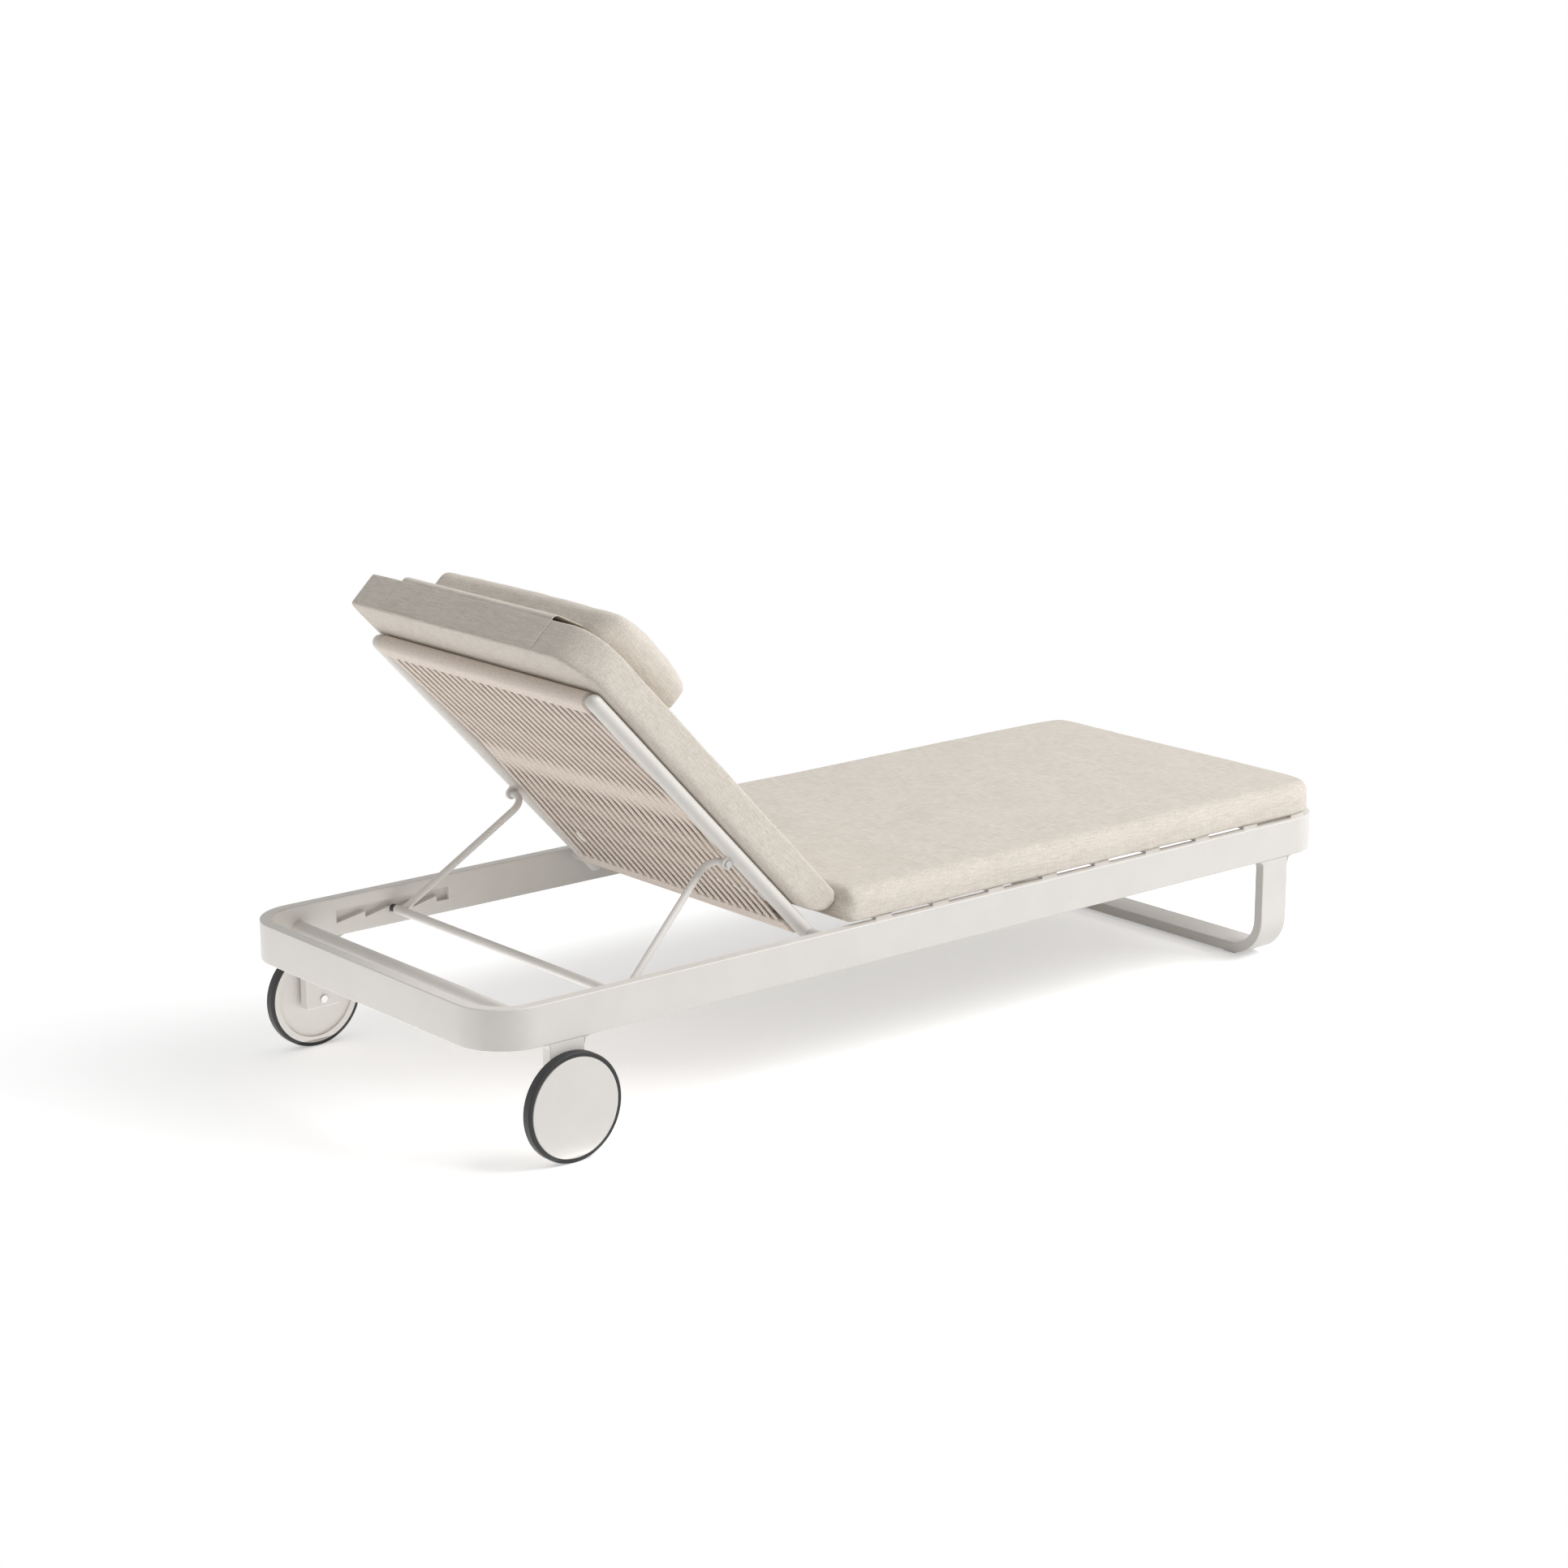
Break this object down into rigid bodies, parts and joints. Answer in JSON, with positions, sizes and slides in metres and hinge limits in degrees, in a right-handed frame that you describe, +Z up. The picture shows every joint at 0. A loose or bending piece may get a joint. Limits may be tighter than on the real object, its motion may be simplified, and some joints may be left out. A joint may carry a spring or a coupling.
{
  "type": "sun lounger",
  "caption": "Sun lounger: flat-bar frame on a sled leg and two wheels, rope-slung backrest tilting on a ratchet stay, with seat cushion, back cushion and strapped head pillow.",
  "frame": {"origin": "on the floor below the middle of the frame's plan", "axes": "+Z up, +Y along the lounger to the head end with the wheels, +X to the left of someone lying on it"},
  "size_m": [0.813, 2.048, 0.888],
  "materials": {
    "frame_coat": "matte",
    "cushion_fabric": "matte",
    "rope": "matte",
    "tyre": "matte",
    "black_rubber": "matte",
    "pale_plastic": "matte",
    "steel": "satin"
  },
  "bodies": {
    "base": {"head_rail": "frame_coat", "foot_rail": "frame_coat", "side_rail_left": "frame_coat", "side_rail_right": "frame_coat", "foot_sled": "frame_coat", "floor_glides": "pale_plastic", "head_cross_tube": "frame_coat", "seat_slats": "frame_coat", "wheel_bracket_left": "frame_coat", "wheel_bracket_right": "frame_coat", "axle_left": "steel", "axle_right": "steel", "pivot_pin_left": "steel", "pivot_pin_right": "steel", "pivot_spacers": "pale_plastic", "seat_cushion": "cushion_fabric"},
    "backrest": {"back_tube_left": "frame_coat", "back_tube_right": "frame_coat", "back_tube_caps": "frame_coat", "back_bottom_bar": "frame_coat", "back_top_bar": "frame_coat", "back_sling": "rope", "stay_tab_left": "frame_coat", "stay_tab_right": "frame_coat", "back_cushion": "cushion_fabric", "head_pillow": "cushion_fabric", "pillow_strap": "cushion_fabric"},
    "stay": {"stay_arm_left": "frame_coat", "stay_arm_right": "frame_coat", "stay_crossbar": "frame_coat", "crossbar_sleeves": "black_rubber", "stay_bolts": "steel"},
    "wheel_left": {"wheel_disc_left": "frame_coat", "tyre_left": "tyre", "wheel_cap_left": "frame_coat"},
    "wheel_right": {"wheel_disc_right": "frame_coat", "tyre_right": "tyre", "wheel_cap_right": "frame_coat"}
  },
  "joints": [
    {"name": "backrest_recline", "type": "hinge", "parent": "base", "child": "backrest", "pos_m": [0, 0.2924, 0.2679], "axis": [1, 0, 0], "range_deg": [-45, 18]},
    {"name": "stay_swing", "type": "hinge", "parent": "backrest", "child": "stay", "pos_m": [0, 0.47386, 0.42582], "axis": [1, 0, 0], "range_deg": [-33, 81]},
    {"name": "wheel_left_roll", "type": "hinge", "parent": "base", "child": "wheel_left", "pos_m": [0.395, 0.868, 0.0958], "axis": [1, 0, 0], "continuous": true},
    {"name": "wheel_right_roll", "type": "hinge", "parent": "base", "child": "wheel_right", "pos_m": [-0.395, 0.868, 0.0958], "axis": [1, 0, 0], "continuous": true}
  ],
  "couplings": [
    {"joint": "stay_swing", "follows": "backrest_recline", "ratio": -1.78}
  ]
}
